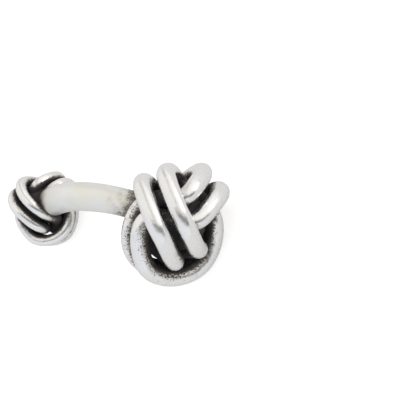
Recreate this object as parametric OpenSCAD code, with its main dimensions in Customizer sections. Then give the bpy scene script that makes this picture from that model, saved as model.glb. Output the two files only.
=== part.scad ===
// Knot cufflink, in millimetres. A large and a small knot, each tied from two round wires that run
// side by side, stand on the ends of a curved bar. It lies on its side, on the plane z = 0.

/* [Wires] */
// Diameter of the wires of the large knot
wire_d = 1.9; // [1.4:0.1:1.9]
// Mean distance of a wire from its knot's axis
knot_reach = 4.05; // [4:0.05:4.3]
// How far a wire swings in and out from that distance, three times round the knot
knot_lobe = 1.4; // [1.3:0.1:1.4]
// How far a wire swings to and fro along the knot's axis
knot_depth = 2.75; // [2.75:0.05:3]
// Distance of each wire's middle height from the middle of the knot
wire_shift = 0.9; // [0.9:0.05:1.1]
// Size of the small knot as a share of the large one
small_share = 0.63; // [0.5:0.01:0.65]

/* [Bar] */
// Distance between the centres of the knots
span = 18.2; // [18:0.1:24]
// Height of the bend over the straight line between those centres
bend_rise = 3.1; // [2:0.1:4]
// Diameter of the bar at the large knot
bar_large_d = 2.85; // [2:0.05:2.9]
// Diameter of the bar at the small knot
bar_small_d = 3.15; // [2:0.05:3.2]
// Way along the bar from the large knot's centre to the middle of the bar's round end
large_seat = 5.1; // [5.1:0.1:6]
// The same at the small knot
small_seat = 4.3; // [4.3:0.1:5]
// Lean of each knot's axis from the line between the centres, towards the top of the bend
knot_lean = 22; // [15:1:25]
// Turn of each knot about its own axis
knot_turn = -20; // [-60:1:60]

/* [Lying] */
// Roll about the line between the centres at which it lies steady
lie_roll = 72.5; // [60:0.1:80]
// Dip of that line, down towards the small knot
lie_dip = 6.2; // [0:0.1:12]

/* [Fineness] */
// Rings along a wire
wire_rings = 96; // [72:12:96]
// Corners of such a ring
wire_corners = 12; // [8:2:12]
// Corners of a ring of the bar
bar_corners = 16; // [12:2:16]

/* [Hidden] */
silver = [0.84, 0.84, 0.83];

// A wire closes after two laps of its knot. Its path is the plain lap plus three waves, a row for
// each. The first three sizes are shared by the pair, and the last three are added for one wire and
// taken off for the other, so a half turn lays one wire on the other.
TIMES = 0;
TURN = 1;
OUT = 2;
UP = 3;
PAIR_TURN = 4;
PAIR_OUT = 5;
PAIR_UP = 6;
WAVES = [
    [3, -1.5, -knot_lobe, -knot_depth, -13.5, -0.9, -0.1],
    [6, -10, 0.35, -0.15, -2, -0.25, 0.05],
    [9, -4.5, 0.05, -0.15, -1, 0, -0.15]
];

// The bar is an arc with its middle at the top of the bend
bend_r = (pow(span / 2, 2) + pow(bend_rise, 2)) / (2 * bend_rise);
bend_half = asin(span / 2 / bend_r);
bar_end_1 = bend_half - degrees_along(large_seat);
bar_end_2 = bend_half - degrees_along(small_seat);
// Stretches between the bar's rings, and the rings that round each end off, a turn apart
bar_steps = 12;
end_rings = 4;
end_turn = 21;

function degrees_along(way) = way / bend_r * 180 / PI;
function sum(list) = list * [for (x = list) 1];
function unit(v) = v / norm(v);
function about_x(a) = [[1, 0, 0], [0, cos(a), -sin(a)], [0, sin(a), cos(a)]];
function about_y(a) = [[cos(a), 0, sin(a)], [0, 1, 0], [-sin(a), 0, cos(a)]];
function about_z(a) = [[cos(a), -sin(a), 0], [sin(a), cos(a), 0], [0, 0, 1]];

// Point of a wire's centre line at t degrees of its loop, with the knot's axis along z.
// side is 1 or -1, for the two wires of a pair.
function wire_angle(t, side) = 2 * t + sum([for (w = WAVES)
    w[TURN] * sin(w[TIMES] * t) + side * w[PAIR_TURN] * cos(w[TIMES] * t)]);
function wire_reach(t, side) = knot_reach + sum([for (w = WAVES)
    w[OUT] * cos(w[TIMES] * t) + side * w[PAIR_OUT] * sin(w[TIMES] * t)]);
function wire_height(t, side) = -side * wire_shift + sum([for (w = WAVES)
    w[UP] * sin(w[TIMES] * t) + side * w[PAIR_UP] * cos(w[TIMES] * t)]);
function wire_point(t, side) = let (a = wire_angle(t, side), r = wire_reach(t, side))
    [r * cos(a), r * sin(a), wire_height(t, side)];

// Corners of the ring round a wire at t, the first one square to the line from the knot's centre
function wire_ring(t, side) = let (
    centre = wire_point(t, side),
    along = unit(wire_point(t + 0.5, side) - wire_point(t - 0.5, side)),
    across = unit(cross(along, centre)),
    outward = cross(across, along)
) [for (k = [0:wire_corners - 1]) let (a = 360 * k / wire_corners)
    centre + wire_d / 2 * (cos(a) * across + sin(a) * outward)];
function wire_skin(side) = [for (k = [0:wire_rings - 1]) each wire_ring(360 * k / wire_rings, side)];

// Faces between neighbouring rings, two triangles for each corner. A closed loop of rings has as
// many stretches as rings, and an open row of them one less.
function wall_faces(stretches, rings, corners) = [for (i = [0:stretches - 1], k = [0:corners - 1]) let (
    a = i * corners + k,
    b = i * corners + (k + 1) % corners,
    c = (b + corners) % (rings * corners),
    d = (a + corners) % (rings * corners)
) each [[a, b, c], [a, c, d]]];

// Corners of ring i of the bar, on its way from the large knot to the small one. Rings before 0 and
// after the last stretch shrink as they pass the end, to round it off.
function bar_ring(i) = let (
    share = min(max(i / bar_steps, 0), 1),
    past = end_turn * (i < 0 ? i : max(i - bar_steps, 0)),
    radius = (bar_large_d + (bar_small_d - bar_large_d) * share) / 2,
    a = bar_end_1 - share * (bar_end_1 + bar_end_2),
    upward = [sin(a), cos(a), 0],
    along = [-cos(a), sin(a), 0],
    centre = bend_r * upward + [0, bend_rise - bend_r, 0] + radius * sin(past) * along
) [for (k = [0:bar_corners - 1]) let (q = 360 * k / bar_corners)
    centre + radius * cos(past) * (cos(q) * upward + sin(q) * [0, 0, 1])];
bar_rings = bar_steps + 1 + 2 * end_rings;
bar_skin = [for (i = [-end_rings:bar_steps + end_rings]) each bar_ring(i)];

// From a knot's own frame to the bar's, in which x runs from the small knot to the large one and
// the bend rises along y, and from there to the lying frame
function knot_frame(lean) = about_z(lean) * about_y(90) * about_z(knot_turn);
lying = about_y(-lie_dip) * about_x(lie_roll);
function large_skin(side) = [for (p = wire_skin(side))
    lying * (knot_frame(-knot_lean) * p + [span / 2, 0, 0])];
function small_skin(side) = [for (p = wire_skin(side))
    lying * (knot_frame(knot_lean) * p * small_share - [span / 2, 0, 0])];

skins = [large_skin(1), large_skin(-1), small_skin(1), small_skin(-1)];

// The middle of the base of the box round all four wires, which goes to the origin
function coords(axis) = [for (skin = skins, p = skin) p[axis]];
base = [
    (min(coords(0)) + max(coords(0))) / 2,
    (min(coords(1)) + max(coords(1))) / 2,
    min(coords(2))
];

module wire(skin) {
    color(silver) translate(-base) polyhedron(skin, wall_faces(wire_rings, wire_rings, wire_corners));
}

module large_knot_wire_1() {
    wire(skins[0]);
}

module large_knot_wire_2() {
    wire(skins[1]);
}

module small_knot_wire_1() {
    wire(skins[2]);
}

module small_knot_wire_2() {
    wire(skins[3]);
}

module bar() {
    first = [for (k = [bar_corners - 1:-1:0]) k];
    last = [for (k = [0:bar_corners - 1]) (bar_rings - 1) * bar_corners + k];
    faces = [first, each wall_faces(bar_rings - 1, bar_rings, bar_corners), last];
    color(silver) translate(-base) polyhedron([for (p = bar_skin) lying * p], faces);
}

large_knot_wire_1();
large_knot_wire_2();
small_knot_wire_1();
small_knot_wire_2();
bar();
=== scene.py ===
from collections import namedtuple
from math import asin, cos, pi, radians, sin, sqrt

import bmesh
import bpy
from bpy.props import FloatProperty, FloatVectorProperty, IntProperty, PointerProperty
from mathutils import Euler, Matrix, Vector
from mathutils.bvhtree import BVHTree


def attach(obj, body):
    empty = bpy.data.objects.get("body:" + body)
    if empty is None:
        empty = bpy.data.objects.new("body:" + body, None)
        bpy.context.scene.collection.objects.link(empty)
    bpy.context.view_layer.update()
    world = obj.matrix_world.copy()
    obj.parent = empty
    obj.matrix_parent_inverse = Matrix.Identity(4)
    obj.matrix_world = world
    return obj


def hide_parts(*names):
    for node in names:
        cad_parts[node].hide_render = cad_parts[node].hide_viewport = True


bl_info = {
    "name": "Knot cufflink",
    "version": (1, 0, 0),
    "blender": (4, 5, 0),
    "location": "View3D > Sidebar > Cufflink",
    "description": "Models an oxidised silver knot cufflink and sets up its studio",
    "category": "Object",
}

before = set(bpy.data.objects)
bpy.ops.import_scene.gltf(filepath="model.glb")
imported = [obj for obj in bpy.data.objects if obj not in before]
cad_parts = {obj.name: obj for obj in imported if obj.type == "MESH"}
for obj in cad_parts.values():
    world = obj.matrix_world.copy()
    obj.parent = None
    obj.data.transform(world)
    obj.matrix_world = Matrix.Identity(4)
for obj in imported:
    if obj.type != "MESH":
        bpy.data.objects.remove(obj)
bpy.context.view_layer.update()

MM = 0.001

# A wire closes after two laps of its knot, on the plain lap plus these waves. Each has its number in
# one loop, its turn in degrees and its swings outward and along the axis in mm, and the same three
# for what is added for one wire of a pair and taken off for the other.
Wave = namedtuple("Wave", "times turn out up pair_turn pair_out pair_up")
WAVES = (
    Wave(times=3, turn=-1.5, out=-1.4, up=-2.75, pair_turn=-13.5, pair_out=-0.9, pair_up=-0.1),
    Wave(times=6, turn=-10, out=0.35, up=-0.15, pair_turn=-2, pair_out=-0.25, pair_up=0.05),
    Wave(times=9, turn=-4.5, out=0.05, up=-0.15, pair_turn=-1, pair_out=0, pair_up=-0.15),
)

# Turn of the last ring of the bar's round ends, just short of the quarter turn that would close them
END_TURN = pi / 2 * 0.98
# Subdivisions of the balls in the middles of the knots, and how near two corners are merged
BALL_SUBDIVISIONS = 5
MERGE_REACH = 1e-7

RAYS = 56
RAY_LIFT = 0.06 * MM
# How far they reach from a wire, in its diameters, and from the bar
WIRE_RAY_REACH = 3
BAR_RAY_REACH = 4 * MM

# How the polish changes that. A rise goes evenly from nothing at its start to its size at its end, and
# stays there. These go by the distance from the middle of a knot, in mm at the size of the large one,
# and those with the end nearer than the start grow inward.
Rise = namedtuple("Rise", "size start end")
IN_LARGE_HEART = Rise(0.6, 4.0, 3.4)
IN_SMALL_HEART = Rise(0.6, 5.2, 4.3)
NEAR_LARGE_KNOT = Rise(1, 8.0, 7.0)
BUFFED_DEPTHS = (Rise(0.15, 4.0, 4.3), Rise(0.20, 4.5, 5.0))
# Sides of the large knot, from its middle, that the polishing wheel has reached deepest into and least,
# and the rises as a place turns towards them, by the cosine between the two
BUFFED_SIDE = Vector((0.53, 0.53, 0.66)).normalized()
SKIPPED_SIDE = Vector((-0.56, -0.75, 0.22)).normalized()
ON_BUFFED_SIDE = Rise(1, 0.25, 0.55)
ON_SKIPPED_SIDE = Rise(0.05, 0.1, 0.5)

# Where each mask of the patina begins and where it is full, by how much more shut in than the limit
OXIDE_EDGE = (-0.05, 0.06)
TARNISH_EDGE = (-0.22, 0.03)
# The deep mask darkens the oxide further deep in the crevices: painted shade laid over the real oxide
DEEP_SHADE_EDGE = (0.10, 0.35)
# The grains of oxide gather in clumps: a grain's size as a share of a clump's, and how far clumps stray
GRAIN_OF_CLUMP = 0.15
CLUMP_STRAY = 0.15
# Size of the film's patches, their pace along X, which draws them out along the bar, and their edge
FILM_SIZE = 0.8 * MM
FILM_PACE = 0.22
FILM_EDGE = (0.40, 0.66)

# Size and depth of the waves that filing leaves and of the pits that frosting leaves
WAVE_SIZE, WAVE_DEPTH = 1.4 * MM, 0.09 * MM
PIT_SIZE, PIT_DEPTH = 0.12 * MM, 0.02 * MM
# Size of the patches that are rougher or smoother than the rest, by how much they are, and the range
# that most of their pattern keeps to
WORN_SIZE, WORN_SPREAD = 0.7 * MM, 0.06
WORN_RANGE = (0.3, 0.7)
OXIDE_ROUGHNESS = 0.75
OXIDE_METALLIC = 0.1

# Sides of the room in the camera's own frame, X right, Y up and Z back: the middle of the warm half, of
# the dark gap and of the soft glow, and the direction that the dim streak is square to
WARM_SIDE = Vector((-0.05, 0.96, 0.2)).normalized()
GAP_SIDE = Vector((0.9, 0.2, 0.4)).normalized()
GLOW_SIDE = Vector((0.45, 0.85, 0.28)).normalized()
ACROSS_STREAK = Vector((0.92, 0.38, -0.14)).normalized()
# Where the two halves meet, where the gap and the streak fade out on both sides of their middle lines,
# and where the gap and the glow set in towards their own sides
HALVES_EDGE = (-0.12, 0.12)
GAP_FADE = (0.04, 0.36)
STREAK_FADE = (0.02, 0.20)
GAP_EDGE = (-0.50, 0.20)
GLOW_EDGE = (0.75, 0.95)
# Brightness of the side away from the gap and of the gap's own side, as shares of the room's
FAR_LIGHT, NEAR_LIGHT = 0.93, 1.04

# The light panel: its distance, its turn from the X axis, its size, its height over the floor, its colour
PANEL_AWAY = 0.5
PANEL_TURN = radians(41)
PANEL_WIDE, PANEL_HIGH = 0.20, 0.15
PANEL_LIFT = 0.002
PANEL_COLOUR = (1.0, 0.97, 0.92)

FLOOR_REACH = 1.5
SENSOR_WIDTH = 36
CLIP_START, CLIP_END = 0.01, 10


class KnotSizes(bpy.types.PropertyGroup):
    """Sizes of the knots, and how they stand on the bar and lie on the floor"""
    wire_diameter: FloatProperty(
        name="Wire diameter", description="Thickness of the wires of the large knot",
        default=0.0019, unit="LENGTH", precision=5)
    reach: FloatProperty(
        name="Reach", description="Mean distance of a wire from its knot's axis",
        default=0.00405, unit="LENGTH", precision=5)
    wire_shift: FloatProperty(
        name="Wire shift", description="Distance of each wire's middle height from the middle of the knot",
        default=0.0009, unit="LENGTH", precision=5)
    small_share: FloatProperty(
        name="Small knot", description="Size of the small knot as a share of the large one",
        default=0.63, subtype="FACTOR", min=0.5, max=0.65)
    lean: FloatProperty(
        name="Lean", description="Lean of each knot towards the top of the bar's bend",
        default=radians(22), subtype="ANGLE")
    turn: FloatProperty(
        name="Turn", description="Turn of each knot about its own axis",
        default=radians(-20), subtype="ANGLE")
    roll: FloatProperty(
        name="Roll", description="Roll of the cufflink about the line between its knots, as it lies",
        default=radians(72.5), subtype="ANGLE")
    dip: FloatProperty(
        name="Dip", description="Dip of that line down towards the small knot",
        default=radians(6.2), subtype="ANGLE")
    rings: IntProperty(
        name="Rings", description="Rings along a wire", default=560, min=96)
    corners: IntProperty(
        name="Corners", description="Corners of such a ring, an even number", default=22, min=12)


class BarSizes(bpy.types.PropertyGroup):
    """Sizes of the bar and of the metal that it holds in the middle of each knot"""
    bend_rise: FloatProperty(
        name="Bend rise", description="Height of the bend over the line between the knots' middles",
        default=0.0031, unit="LENGTH", precision=5)
    large_diameter: FloatProperty(
        name="Diameter at the large knot", description="Thickness of the bar's end in the large knot",
        default=0.00285, unit="LENGTH", precision=5)
    small_diameter: FloatProperty(
        name="Diameter at the small knot", description="Thickness of the bar's end in the small knot",
        default=0.00315, unit="LENGTH", precision=5)
    large_seat: FloatProperty(
        name="Seat in the large knot", description="Way from that knot's middle to the bar's round end",
        default=0.0040, unit="LENGTH", precision=5)
    small_seat: FloatProperty(
        name="Seat in the small knot", description="Way from that knot's middle to the bar's round end",
        default=0.0016, unit="LENGTH", precision=5)
    large_heart: FloatProperty(
        name="Heart of the large knot", description="Radius of the ball of metal in that knot's middle",
        default=0.0031, unit="LENGTH", precision=5)
    small_heart: FloatProperty(
        name="Heart of the small knot", description="Radius of the ball of metal in that knot's middle",
        default=0.0020, unit="LENGTH", precision=5)
    heart_shift: FloatVectorProperty(
        name="Heart shift", description="From the middle of the small knot to the middle of its heart",
        default=(-0.0006, 0.0008, 0), subtype="TRANSLATION", precision=5)
    stretches: IntProperty(
        name="Stretches", description="Stretches between the rings along the bar", default=150, min=12)
    end_rings: IntProperty(
        name="End rings", description="Rings that round each end off", default=14, min=4)
    corners: IntProperty(
        name="Corners", description="Corners of such a ring, an even number", default=26, min=12)


class Finish(bpy.types.PropertyGroup):
    """Colours of the metal, and how the oxide, the film and the frosting lie on it"""
    silver: FloatVectorProperty(
        name="Silver", description="Colour of the polished metal", subtype="COLOR",
        default=(0.895, 0.895, 0.91), min=0, max=1)
    frosted: FloatVectorProperty(
        name="Frosted silver", description="Colour of the frosted metal of the bar", subtype="COLOR",
        default=(0.875, 0.885, 0.89), min=0, max=1)
    tarnish: FloatVectorProperty(
        name="Tarnish", description="Colour of the thin tarnish beside the oxide", subtype="COLOR",
        default=(0.45, 0.42, 0.36), min=0, max=1)
    oxide: FloatVectorProperty(
        name="Oxide", description="Colour of the oxidised crevices", subtype="COLOR",
        default=(0.085, 0.078, 0.080), min=0, max=1)
    # Oxide colour with painted shade, for the deepest crevices
    deep_oxide_and_shade: FloatVectorProperty(
        name="Deep oxide", description="Colour of the oxide far inside the knots", subtype="COLOR",
        default=(0.044, 0.039, 0.042), min=0, max=1)
    film: FloatVectorProperty(
        name="Film", description="Colour of the yellowish film that lies on the metal in patches",
        subtype="COLOR", default=(0.87, 0.85, 0.775), min=0, max=1)
    knot_film: FloatProperty(
        name="Film on the knots", description="How much of the metal the film hides where it is thickest",
        default=0.25, subtype="FACTOR", min=0, max=1)
    bar_film: FloatProperty(
        name="Film on the bar", description="The same for the bar",
        default=0.8, subtype="FACTOR", min=0, max=1)
    grain: FloatProperty(
        name="Grain", description="Size of the grains at the edge of the oxide",
        default=0.00010, unit="LENGTH", precision=5)
    large_limit: FloatProperty(
        name="Limit, large knot", description="How shut in a place is where the polish gives way to oxide",
        default=0.29, subtype="FACTOR", min=0, max=1)
    small_limit: FloatProperty(
        name="Limit, small knot", description="The same for the small knot",
        default=0.23, subtype="FACTOR", min=0, max=1)
    bar_limit: FloatProperty(
        name="Limit, bar", description="The same for the bar",
        default=0.23, subtype="FACTOR", min=0, max=1)
    large_stray: FloatProperty(
        name="Stray, large knot", description="How far single grains of oxide stray about that limit",
        default=0.45, subtype="FACTOR", min=0, max=1)
    small_stray: FloatProperty(
        name="Stray, small knot", description="The same for the small knot",
        default=0.22, subtype="FACTOR", min=0, max=1)
    bar_stray: FloatProperty(
        name="Stray, bar", description="The same for the bar",
        default=0.27, subtype="FACTOR", min=0, max=1)
    knot_roughness: FloatProperty(
        name="Roughness of the knots", description="Roughness of their polished metal",
        default=0.26, subtype="FACTOR", min=0, max=1)
    bar_roughness: FloatProperty(
        name="Roughness of the bar", description="Roughness of its frosted metal",
        default=0.45, subtype="FACTOR", min=0, max=1)
    knot_frost: FloatProperty(
        name="Frosting of the knots", description="Depth of its fine pits, as a share of their full depth",
        default=0.3, subtype="FACTOR", min=0, max=1)
    bar_frost: FloatProperty(
        name="Frosting of the bar", description="The same for the bar",
        default=1.0, subtype="FACTOR", min=0, max=1)


class Studio(bpy.types.PropertyGroup):
    """The camera, the floor and the light"""
    camera_azimuth: FloatProperty(
        name="Camera azimuth", description="Turn of the camera about the vertical, from the front",
        default=radians(72.2671), subtype="ANGLE")
    camera_elevation: FloatProperty(
        name="Camera elevation", description="Height of the camera over the floor, as an angle",
        default=radians(54.8415), subtype="ANGLE")
    camera_roll: FloatProperty(
        name="Camera roll", description="Turn of the camera about its line of sight",
        default=radians(-61.9862), subtype="ANGLE")
    camera_distance: FloatProperty(
        name="Camera distance", description="Distance from the camera to the middle of the large knot",
        default=0.16723, unit="LENGTH", precision=5)
    aim_right: FloatProperty(
        name="Aim right", description="How far to the right of the large knot's middle the camera aims",
        default=0.002460, unit="LENGTH", precision=6)
    aim_up: FloatProperty(
        name="Aim up", description="How far above that middle, in the picture, the camera aims",
        default=0.002011, unit="LENGTH", precision=6)
    lens: FloatProperty(
        name="Lens", description="Focal length, over a sensor 36 mm wide", default=150.507, unit="CAMERA")
    floor_colour: FloatVectorProperty(
        name="Floor", description="Colour of the floor", subtype="COLOR", default=(0.86, 0.86, 0.86),
        min=0, max=1)
    floor_glow: FloatProperty(
        name="Floor glow", description="Light that shines through the floor to the camera",
        default=0.5, min=0)
    floor_light: FloatProperty(
        name="Floor light", description="Light that it sends everywhere", default=0.08, min=0)
    warm_light: FloatVectorProperty(
        name="Warm light", description="Colour of the upper half of the room", subtype="COLOR",
        default=(0.97, 0.95, 0.91), min=0, max=1)
    cool_light: FloatVectorProperty(
        name="Cool light", description="Colour of the lower half of the room", subtype="COLOR",
        default=(0.86, 0.88, 0.91), min=0, max=1)
    room_strength: FloatProperty(
        name="Room strength", description="Brightness of the room", default=1.0, min=0)
    room_glow: FloatProperty(
        name="Room glow", description="What the soft glow in the warm half adds to that",
        default=0.10, min=0)
    gap_depth: FloatProperty(
        name="Gap depth", description="How dark the gap between the two halves of the room is",
        default=0.88, subtype="FACTOR", min=0, max=1)
    streak_depth: FloatProperty(
        name="Streak depth", description="How dark the narrow streak that runs down to that gap is",
        default=0.40, subtype="FACTOR", min=0, max=1)
    panel_brightness: FloatProperty(
        name="Panel brightness", description="Brightness of the light panel beside the cufflink",
        default=2.8, min=0)


def knot_middle(size):
    """Middle of the large or small knot, from the frame: the mean of the corners of its two wires."""
    corners = [v.co for wire in (1, 2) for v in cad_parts[f"{size}_knot_wire_{wire}"].data.vertices]
    return sum(corners, Vector()) / len(corners)


MIDDLES = {size: knot_middle(size) for size in ("large", "small")}


def lying(sizes):
    """Turn to the row's frame from the cufflink's own, X to the large knot and the bend rising along Y."""
    return Matrix.Rotation(-sizes.dip, 3, "Y") @ Matrix.Rotation(sizes.roll, 3, "X")


def wire_point(t, side, sizes):
    """Point of a wire's centre line at t radians of its loop, with the knot's axis along Z. side is 1
    or -1, for the two wires of a pair."""
    angle = 2 * t
    reach = sizes.reach
    height = -side * sizes.wire_shift
    for wave in WAVES:
        s, c = sin(wave.times * t), cos(wave.times * t)
        angle += radians(wave.turn * s + side * wave.pair_turn * c)
        reach += MM * (wave.out * c + side * wave.pair_out * s)
        height += MM * (wave.up * s + side * wave.pair_up * c)
    return Vector((reach * cos(angle), reach * sin(angle), height))


def tube(name, points, radii, corners, closed):
    """Piece with the mesh of a round tube along points, with a radius at each. An open one gets caps."""
    curve = bpy.data.curves.new(name, "CURVE")
    curve.dimensions = "3D"
    curve.twist_mode = "MINIMUM"
    curve.bevel_depth = 1
    # A bevel has four corners, and two more for each step of its resolution
    curve.bevel_resolution = corners // 2 - 2
    curve.use_fill_caps = not closed
    spline = curve.splines.new("POLY")
    spline.points.add(len(points) - 1)
    for mark, point, radius in zip(spline.points, points, radii):
        mark.co = (*point, 1)
        mark.radius = radius
    spline.use_cyclic_u = closed
    drawn = bpy.data.objects.new(name, curve)
    bpy.context.scene.collection.objects.link(drawn)
    mesh = bpy.data.meshes.new_from_object(drawn.evaluated_get(bpy.context.evaluated_depsgraph_get()))
    bpy.data.objects.remove(drawn)
    shape = bmesh.new()
    shape.from_mesh(mesh)
    bmesh.ops.remove_doubles(shape, verts=shape.verts, dist=MERGE_REACH)
    bmesh.ops.recalc_face_normals(shape, faces=shape.faces)
    for face in shape.faces:
        face.smooth = True
    shape.to_mesh(mesh)
    shape.free()
    piece = bpy.data.objects.new(name, mesh)
    mesh.name = name
    bpy.context.scene.collection.objects.link(piece)
    return piece


def fill_heart(piece, middle, radius):
    """Adds to a piece the ball of metal that fills the middle of a knot, between its wires."""
    shape = bmesh.new()
    shape.from_mesh(piece.data)
    ball = bmesh.ops.create_icosphere(
        shape, subdivisions=BALL_SUBDIVISIONS, radius=radius, matrix=Matrix.Translation(middle))
    for vertex in ball["verts"]:
        for face in vertex.link_faces:
            face.smooth = True
    shape.to_mesh(piece.data)
    shape.free()


def neighbours():
    """Tree of all the faces of the frame, to measure how deep in a crevice a point lies."""
    shape = bmesh.new()
    for cad_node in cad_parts.values():
        shape.from_mesh(cad_node.data)
    tree = BVHTree.FromBMesh(shape)
    shape.free()
    return tree


def dome(count):
    """Directions spread over a half ball about Z, closer together near its top."""
    golden = pi * (3 - sqrt(5))
    directions = []
    for i in range(count):
        out = sqrt((i + 0.5) / count)
        directions.append(Vector((out * cos(golden * i), out * sin(golden * i), sqrt(1 - out * out))))
    return directions


def risen(value, rise):
    """How much of a rise there is at a value."""
    return rise.size * min(max((value - rise.start) / (rise.end - rise.start), 0), 1)


def polish_missed(point, sizes):
    """What the polish adds to the recess of a point: much in the heart of a knot, a little on the skipped
    side of the large one, and less than none on its buffed side."""
    large, small = point - MIDDLES["large"], point - MIDDLES["small"]
    far_large, far_small = large.length / MM, small.length / MM / sizes.small_share
    outward = large.normalized()
    heart = max(risen(far_large, IN_LARGE_HEART), risen(far_small, IN_SMALL_HEART))
    buffed = sum(risen(far_large, rise) for rise in BUFFED_DEPTHS)
    buffed *= risen(outward.dot(BUFFED_SIDE), ON_BUFFED_SIDE)
    skipped = risen(outward.dot(SKIPPED_SIDE), ON_SKIPPED_SIDE)
    return heart + (skipped - buffed) * risen(far_large, NEAR_LARGE_KNOT)


def mark_recesses(piece, far, tree, sizes):
    """Writes the attribute recess: the share of the half ball over each vertex that metal within far
    fills, and what the polish adds to it."""
    mesh = piece.data
    rays = dome(RAYS)
    shares = []
    for vertex in mesh.vertices:
        turn = vertex.normal.to_track_quat("Z", "Y").to_matrix()
        start = vertex.co + vertex.normal * RAY_LIFT
        shut = 0
        for ray in rays:
            spot, _, _, distance = tree.ray_cast(start, turn @ ray, far)
            if spot is not None:
                shut += 1 - distance / far
        shares.append(shut / len(rays) + polish_missed(vertex.co, sizes))
    attribute = mesh.attributes.new("recess", "FLOAT", "POINT")
    attribute.data.foreach_set("value", shares)


def node(tree, kind, place, inputs=None, **settings):
    """A shader node at a place, with its settings, and its inputs set or linked by name or number."""
    made = tree.nodes.new(kind)
    made.location = place
    for name, value in settings.items():
        setattr(made, name, value)
    for name, value in (inputs or {}).items():
        if isinstance(value, bpy.types.NodeSocket):
            tree.links.new(value, made.inputs[name])
        else:
            made.inputs[name].default_value = value
    return made


def maths(tree, place, operation, *values):
    """Result of a Math node on numbers or sockets."""
    return node(tree, "ShaderNodeMath", place, dict(enumerate(values)), operation=operation).outputs[0]


def eased(tree, place, value, edge, low=0.0, high=1.0):
    """A number that goes smoothly from low to high while a value passes an edge, given as two values."""
    return node(tree, "ShaderNodeMapRange", place, {
        "Value": value, "From Min": edge[0], "From Max": edge[1], "To Min": low, "To Max": high},
        interpolation_type="SMOOTHSTEP").outputs[0]


def ranged(tree, place, value, low, high):
    """A number that goes evenly from low to high while a value goes from 0 to 1."""
    return node(tree, "ShaderNodeMapRange", place, {
        "Value": value, "To Min": low, "To Max": high}).outputs[0]


def coloured(tree, place, share, bare, cover):
    """A bare colour with a share of another one over it. Each is a colour or a socket."""
    colours = [side if isinstance(side, bpy.types.NodeSocket) else (*side, 1) for side in (bare, cover)]
    return node(tree, "ShaderNodeMix", place, {
        "Factor": share, "A": colours[0], "B": colours[1]}, data_type="RGBA").outputs["Result"]


def new_group(name, inputs, outputs):
    """An empty node group with number inputs. Returns its tree and the sockets of its inputs."""
    tree = bpy.data.node_groups.new(name, "ShaderNodeTree")
    for socket in inputs:
        tree.interface.new_socket(socket, in_out="INPUT", socket_type="NodeSocketFloat")
    for socket, kind in outputs.items():
        tree.interface.new_socket(socket, in_out="OUTPUT", socket_type=kind)
    return tree, node(tree, "NodeGroupInput", (-1200, 0)).outputs


def patina_group():
    """Masks of the black oxide, of the thin tarnish beside it and of the deep crevices, where painted
    shade darkens the oxide further, from how shut in a place is, and of the film that lies in patches."""
    tree, given = new_group("patina", ("Grain", "Limit", "Stray", "Film"), {
        name: "NodeSocketFloat" for name in ("Oxide", "Tarnish", "Deep", "Film")})
    recess = node(tree, "ShaderNodeAttribute", (-1200, 300), attribute_name="recess").outputs["Fac"]
    where = node(tree, "ShaderNodeTexCoord", (-1200, -300)).outputs["Object"]
    fine_scale = maths(tree, (-1000, -200), "DIVIDE", 1.0, given["Grain"])
    cells = node(tree, "ShaderNodeTexVoronoi", (-900, -200), {
        "Vector": where, "Scale": fine_scale}, feature="F1")
    fine = node(tree, "ShaderNodeSeparateColor", (-700, -200), {"Color": cells.outputs["Color"]})
    broad_scale = maths(tree, (-1000, -500), "MULTIPLY", fine_scale, GRAIN_OF_CLUMP)
    broad = node(tree, "ShaderNodeTexNoise", (-800, -500), {
        "Vector": where, "Scale": broad_scale, "Detail": 1.0})
    fine_spread = maths(tree, (-600, -200), "SUBTRACT", fine.outputs["Red"], 0.5)
    broad_spread = maths(tree, (-600, -500), "SUBTRACT", broad.outputs["Fac"], 0.5)
    depth = maths(tree, (-400, 300), "SUBTRACT", recess, given["Limit"])
    uneven = maths(tree, (-400, 0), "MULTIPLY_ADD", broad_spread, CLUMP_STRAY, depth)
    grainy = maths(tree, (-200, 0), "MULTIPLY_ADD", fine_spread, given["Stray"], uneven)
    drawn_out = node(tree, "ShaderNodeMapping", (-700, -800), {
        "Vector": where, "Scale": (FILM_PACE, 1.0, 1.0)})
    patches = node(tree, "ShaderNodeTexNoise", (-400, -700), {
        "Vector": drawn_out.outputs[0], "Scale": 1 / FILM_SIZE, "Detail": 4.0, "Roughness": 0.6})
    node(tree, "NodeGroupOutput", (300, 0), {
        "Oxide": eased(tree, (0, 100), grainy, OXIDE_EDGE),
        "Tarnish": eased(tree, (0, -200), uneven, TARNISH_EDGE),
        # Deep: painted shade on the oxide deep in the crevices
        "Deep": eased(tree, (0, 400), depth, DEEP_SHADE_EDGE),
        "Film": eased(tree, (0, -500), patches.outputs["Fac"], FILM_EDGE, high=given["Film"])})
    return tree


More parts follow.
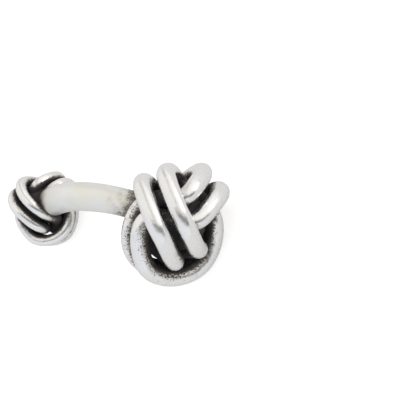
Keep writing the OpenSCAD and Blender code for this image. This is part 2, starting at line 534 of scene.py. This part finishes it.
def handwork_group():
    """The unevenness that filing, frosting and polishing leave: a wavy normal and a varied roughness."""
    tree, given = new_group("handwork", ("Roughness", "Oxide", "Frost"),
                            {"Roughness": "NodeSocketFloat", "Normal": "NodeSocketVector"})
    where = node(tree, "ShaderNodeTexCoord", (-1200, -300)).outputs["Object"]
    waves = node(tree, "ShaderNodeTexNoise", (-900, 0), {
        "Vector": where, "Scale": 1 / WAVE_SIZE, "Detail": 2.0})
    wavy = node(tree, "ShaderNodeBump", (-500, 0), {
        "Height": waves.outputs["Fac"], "Distance": WAVE_DEPTH, "Strength": 1.0})
    pits = node(tree, "ShaderNodeTexNoise", (-900, -300), {
        "Vector": where, "Scale": 1 / PIT_SIZE, "Detail": 2.0, "Roughness": 0.7})
    frosted = maths(tree, (-700, -300), "MULTIPLY", pits.outputs["Fac"], given["Frost"])
    normal = node(tree, "ShaderNodeBump", (-300, -100), {
        "Height": frosted, "Distance": PIT_DEPTH, "Strength": 1.0, "Normal": wavy.outputs["Normal"]})
    patches = node(tree, "ShaderNodeTexNoise", (-900, -600), {
        "Vector": where, "Scale": 1 / WORN_SIZE, "Detail": 3.0})
    spread = node(tree, "ShaderNodeMapRange", (-700, -600), {
        "Value": patches.outputs["Fac"], "From Min": WORN_RANGE[0], "From Max": WORN_RANGE[1],
        "To Min": -WORN_SPREAD, "To Max": WORN_SPREAD})
    metal = maths(tree, (-500, -600), "ADD", spread.outputs[0], given["Roughness"])
    rough = node(tree, "ShaderNodeMix", (-300, -600), {
        "Factor": given["Oxide"], "A": metal, "B": OXIDE_ROUGHNESS})
    node(tree, "NodeGroupOutput", (300, 0), {
        "Roughness": rough.outputs["Result"], "Normal": normal.outputs["Normal"]})
    return tree


def add_material(name, finish, clean, roughness, frost, film, limit, stray):
    """Satin silver that turns to black oxide where the polish doesn't reach, with painted shade that
    darkens the oxide further deep in the crevices.
    """
    groups = bpy.data.node_groups
    material = bpy.data.materials.new(name)
    material.use_nodes = True
    tree = material.node_tree
    tree.nodes.clear()
    patina = node(tree, "ShaderNodeGroup", (-900, 0), {
        "Grain": finish.grain, "Limit": limit, "Stray": stray, "Film": film},
        node_tree=groups.get("patina") or patina_group()).outputs
    handwork = node(tree, "ShaderNodeGroup", (-600, -400), {
        "Roughness": roughness, "Oxide": patina["Oxide"], "Frost": frost},
        node_tree=groups.get("handwork") or handwork_group()).outputs
    filmed = coloured(tree, (-700, 400), patina["Film"], clean, finish.film)
    tarnished = coloured(tree, (-600, 200), patina["Tarnish"], filmed, finish.tarnish)
    # The oxide's colour, darkened by painted shade where the deep mask is full
    black = coloured(tree, (-600, 600), patina["Deep"], finish.oxide, finish.deep_oxide_and_shade)
    shader = node(tree, "ShaderNodeBsdfPrincipled", (0, 0), {
        "Base Color": coloured(tree, (-400, 100), patina["Oxide"], tarnished, black),
        "Metallic": ranged(tree, (-400, -100), patina["Oxide"], 1.0, OXIDE_METALLIC),
        "Roughness": handwork["Roughness"], "Normal": handwork["Normal"]})
    node(tree, "ShaderNodeOutputMaterial", (300, 0), {"Surface": shader.outputs[0]})
    return material


class CUFFLINK_OT_knots(bpy.types.Operator):
    """Model the two wires of each knot"""
    bl_idname = "cufflink.knots"
    bl_label = "Knots"

    def execute(self, context):
        sizes = context.scene.cufflink_knots
        finish = context.scene.cufflink_finish
        tree = neighbours()
        for size, share, lean in (("large", 1, -sizes.lean), ("small", sizes.small_share, sizes.lean)):
            silver = add_material(
                f"{size}_knot_silver", finish, clean=finish.silver, roughness=finish.knot_roughness,
                frost=finish.knot_frost, film=finish.knot_film,
                limit=getattr(finish, f"{size}_limit"), stray=getattr(finish, f"{size}_stray"))
            diameter = share * sizes.wire_diameter
            turn = lying(sizes) @ Matrix.Rotation(lean, 3, "Z") @ Matrix.Rotation(pi / 2, 3, "Y")
            turn = turn @ Matrix.Rotation(sizes.turn, 3, "Z")
            for wire, side in ((1, 1), (2, -1)):
                name = f"{size}_knot_wire_{wire}"
                points = []
                for i in range(sizes.rings):
                    own = wire_point(2 * pi * i / sizes.rings, side, sizes)
                    points.append(MIDDLES[size] + turn @ (share * own))
                piece = tube(
                    "silver_" + name, points, [diameter / 2] * sizes.rings, sizes.corners, closed=True)
                mark_recesses(piece, WIRE_RAY_REACH * diameter, tree, sizes)
                piece.data.materials.append(silver)
                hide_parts(name)
                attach(piece, "root")
        return {"FINISHED"}


class CUFFLINK_OT_bar(bpy.types.Operator):
    """Model the bent bar between the knots, and the metal in the middle of each"""
    bl_idname = "cufflink.bar"
    bl_label = "Bar"

    def execute(self, context):
        sizes = context.scene.cufflink_knots
        bar = context.scene.cufflink_bar
        finish = context.scene.cufflink_finish
        large, small = MIDDLES["large"], MIDDLES["small"]
        half_span = (large - small).length / 2
        bend = (half_span ** 2 + bar.bend_rise ** 2) / (2 * bar.bend_rise)
        half_angle = asin(half_span / bend)
        first = half_angle - bar.large_seat / bend
        last = bar.small_seat / bend - half_angle
        turn = lying(sizes)
        centre = (large + small) / 2
        points, radii = [], []
        for i in range(-bar.end_rings, bar.stretches + bar.end_rings + 1):
            share = min(max(i / bar.stretches, 0), 1)
            past = END_TURN * (i if i < 0 else max(i - bar.stretches, 0)) / bar.end_rings
            radius = (bar.large_diameter + (bar.small_diameter - bar.large_diameter) * share) / 2
            a = first + share * (last - first)
            upward = Vector((sin(a), cos(a), 0))
            along = Vector((-cos(a), sin(a), 0))
            own = bend * upward + Vector((0, bar.bend_rise - bend, 0)) + radius * sin(past) * along
            points.append(centre + turn @ own)
            radii.append(radius * cos(past))
        piece = tube("silver_bar", points, radii, bar.corners, closed=False)
        fill_heart(piece, large, bar.large_heart)
        fill_heart(piece, small + turn @ Vector(bar.heart_shift), bar.small_heart)
        mark_recesses(piece, BAR_RAY_REACH, neighbours(), sizes)
        piece.data.materials.append(add_material(
            "bar_silver", finish, clean=finish.frosted, roughness=finish.bar_roughness,
            frost=finish.bar_frost, film=finish.bar_film, limit=finish.bar_limit, stray=finish.bar_stray))
        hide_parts("bar")
        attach(piece, "root")
        return {"FINISHED"}


def view_turn(studio):
    """Turn from the camera's own frame, X right, Y up and Z back, to the row's."""
    level = Euler((pi / 2 - studio.camera_elevation, 0, studio.camera_azimuth), "XYZ").to_matrix()
    return level @ Matrix.Rotation(studio.camera_roll, 3, "Z")


def lay_floor(studio):
    """A wide pale floor that glows a little towards the camera, as a light table does."""
    shape = bmesh.new()
    bmesh.ops.create_grid(shape, x_segments=1, y_segments=1, size=FLOOR_REACH)
    mesh = bpy.data.meshes.new("floor")
    shape.to_mesh(mesh)
    shape.free()
    floor = bpy.data.objects.new("floor", mesh)
    bpy.context.scene.collection.objects.link(floor)
    light_table = bpy.data.materials.new("light_table")
    light_table.use_nodes = True
    tree = light_table.node_tree
    tree.nodes.clear()
    matt = node(tree, "ShaderNodeBsdfDiffuse", (-200, 100), {"Color": (*studio.floor_colour, 1)})
    path = node(tree, "ShaderNodeLightPath", (-600, -100))
    seen = maths(tree, (-400, -100), "MULTIPLY_ADD",
                 path.outputs["Is Camera Ray"], studio.floor_glow, studio.floor_light)
    glow = node(tree, "ShaderNodeEmission", (-200, -100), {"Strength": seen})
    both = node(tree, "ShaderNodeAddShader", (0, 0), {0: matt.outputs[0], 1: glow.outputs[0]})
    node(tree, "ShaderNodeOutputMaterial", (200, 0), {"Surface": both.outputs[0]})
    mesh.materials.append(light_table)


def place_camera(studio, turn, middle):
    """The camera that looks at the cufflink, aimed from the middle of the large knot."""
    camera = bpy.data.objects.new("camera", bpy.data.cameras.new("camera"))
    camera.data.sensor_width = SENSOR_WIDTH
    camera.data.lens = studio.lens
    camera.data.clip_start, camera.data.clip_end = CLIP_START, CLIP_END
    aim = Vector((studio.aim_right, studio.aim_up, studio.camera_distance))
    camera.matrix_world = Matrix.Translation(middle + turn @ aim) @ turn.to_4x4()
    bpy.context.scene.collection.objects.link(camera)
    bpy.context.scene.camera = camera


def facing(tree, place, where, side):
    """How much a direction of the room faces a side of it, from -1 to 1."""
    return node(tree, "ShaderNodeVectorMath", place, {0: where, 1: side},
                operation="DOT_PRODUCT").outputs["Value"]


def light_room(studio, turn):
    """A room of two soft halves, warm and cool, with a dark gap between them on one side, a dim streak
    down the warm half to that gap, a soft glow beside it and the far side a little dimmer."""
    world = bpy.data.worlds.new("room")
    world.use_nodes = True
    tree = world.node_tree
    tree.nodes.clear()
    where = node(tree, "ShaderNodeTexCoord", (-1400, 0)).outputs["Generated"]
    height = facing(tree, (-1200, 100), where, turn @ WARM_SIDE)
    beside = facing(tree, (-1200, -200), where, turn @ GAP_SIDE)
    towards_glow = facing(tree, (-1200, -800), where, turn @ GLOW_SIDE)
    across = facing(tree, (-1200, -1000), where, turn @ ACROSS_STREAK)
    warm = eased(tree, (-900, 200), height, HALVES_EDGE)
    colour = coloured(tree, (-600, 200), warm, studio.cool_light, studio.warm_light)
    off_gap = maths(tree, (-900, -50), "ABSOLUTE", height)
    near_gap = eased(tree, (-700, -50), off_gap, GAP_FADE, low=1.0, high=0.0)
    on_side = eased(tree, (-700, -300), beside, GAP_EDGE)
    gap = maths(tree, (-500, -200), "MULTIPLY", near_gap, on_side)
    gap_leaves = ranged(tree, (-300, -200), gap, 1.0, 1 - studio.gap_depth)
    off_streak = maths(tree, (-1000, -1000), "ABSOLUTE", across)
    streak = eased(tree, (-800, -1000), off_streak, STREAK_FADE, low=studio.streak_depth, high=0.0)
    warm_streak = maths(tree, (-600, -1000), "MULTIPLY", streak, warm)
    streak_leaves = maths(tree, (-400, -900), "SUBTRACT", 1.0, warm_streak)
    slope = node(tree, "ShaderNodeMapRange", (-700, -550), {
        "Value": beside, "From Min": -1.0, "To Min": FAR_LIGHT * studio.room_strength,
        "To Max": NEAR_LIGHT * studio.room_strength}).outputs[0]
    glow = eased(tree, (-700, -800), towards_glow, GLOW_EDGE, high=studio.room_glow)
    lit = maths(tree, (-500, -600), "ADD", slope, glow)
    dimmed = maths(tree, (-300, -500), "MULTIPLY", lit, gap_leaves)
    strength = maths(tree, (-200, -400), "MULTIPLY", dimmed, streak_leaves)
    background = node(tree, "ShaderNodeBackground", (-100, 0), {"Color": colour, "Strength": strength})
    node(tree, "ShaderNodeOutputWorld", (100, 0), {"Surface": background.outputs[0]})
    bpy.context.scene.world = world


def stand_panel(studio, middle):
    """A light panel that stands on the floor beside the large knot, at some distance."""
    data = bpy.data.lights.new("panel", "AREA")
    data.shape = "RECTANGLE"
    data.size, data.size_y = PANEL_WIDE, PANEL_HIGH
    data.energy = studio.panel_brightness * pi * PANEL_WIDE * PANEL_HIGH
    data.color = PANEL_COLOUR
    panel = bpy.data.objects.new("panel", data)
    direction = Matrix.Rotation(PANEL_TURN, 3, "Z") @ Vector((1, 0, 0))
    place = Vector((middle.x, middle.y, 0)) + direction * PANEL_AWAY
    place += Vector((0, 0, PANEL_HIGH / 2 + PANEL_LIFT))
    panel.matrix_world = Matrix.Translation(place) @ direction.to_track_quat("Z", "Y").to_matrix().to_4x4()
    bpy.context.scene.collection.objects.link(panel)


class CUFFLINK_OT_stage(bpy.types.Operator):
    """Lay the floor, place the camera and light the room"""
    bl_idname = "cufflink.stage"
    bl_label = "Stage"

    def execute(self, context):
        studio = context.scene.cufflink_studio
        turn = view_turn(studio)
        lay_floor(studio)
        place_camera(studio, turn, MIDDLES["large"])
        light_room(studio, turn)
        stand_panel(studio, MIDDLES["large"])
        context.scene.view_settings.view_transform = "Standard"
        return {"FINISHED"}


class CUFFLINK_PT_panel(bpy.types.Panel):
    bl_label = "Cufflink"
    bl_space_type = "VIEW_3D"
    bl_region_type = "UI"
    bl_category = "Cufflink"

    def draw(self, context):
        for step in STEPS:
            self.layout.operator(step.bl_idname)


GROUPS = {
    "cufflink_knots": KnotSizes,
    "cufflink_bar": BarSizes,
    "cufflink_finish": Finish,
    "cufflink_studio": Studio,
}
STEPS = (CUFFLINK_OT_knots, CUFFLINK_OT_bar, CUFFLINK_OT_stage)


def register():
    for part in (*GROUPS.values(), *STEPS, CUFFLINK_PT_panel):
        bpy.utils.register_class(part)
    for name, group in GROUPS.items():
        setattr(bpy.types.Scene, name, PointerProperty(type=group))


def unregister():
    for name in GROUPS:
        delattr(bpy.types.Scene, name)
    for part in (CUFFLINK_PT_panel, *reversed(STEPS), *reversed(GROUPS.values())):
        bpy.utils.unregister_class(part)


def main():
    register()
    bpy.ops.cufflink.knots()
    bpy.ops.cufflink.bar()
    bpy.ops.cufflink.stage()


if __name__ == "__main__":
    main()
